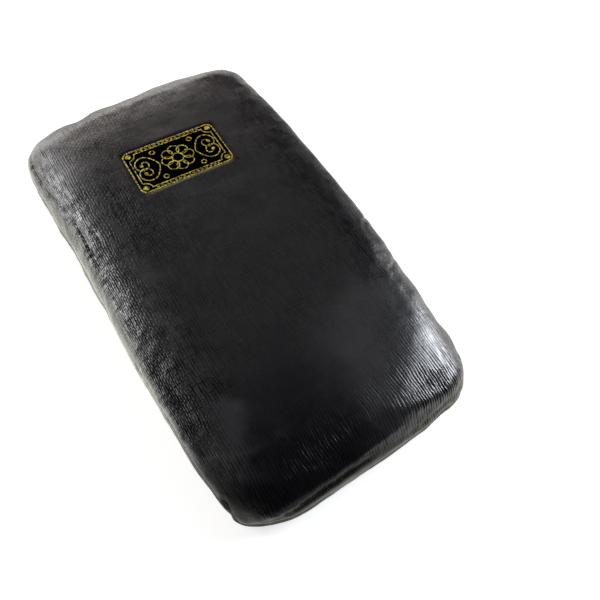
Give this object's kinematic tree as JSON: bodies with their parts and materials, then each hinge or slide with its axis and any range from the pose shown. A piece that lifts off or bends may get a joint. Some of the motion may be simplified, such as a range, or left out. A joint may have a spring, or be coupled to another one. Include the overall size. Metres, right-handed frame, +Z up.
{
  "type": "stamped pressed slab",
  "caption": "Dark slab pressed in a cloth, with soft rounded edges and a gold cartouche stamped on its top; a solid block that lies flat.",
  "frame": {"origin": "on the surface that the slab lies on, under the middle of its box", "axes": "+Z up, +Y along the slab towards its stamped end, +X across it"},
  "size_m": [0.112, 0.2, 0.024],
  "materials": {
    "pressed_slab": "satin",
    "black_ground": "satin",
    "gold_print": "satin"
  },
  "bodies": {
    "root": {"pressed_slab": "pressed_slab", "stamp_ground": "black_ground", "outer_frame": "gold_print", "inner_frame": "gold_print", "corner_bosses": "gold_print", "bead_rows": "gold_print", "centre_rosette": "gold_print", "left_scrolls": "gold_print", "right_scrolls": "gold_print"}
  },
  "joints": []
}
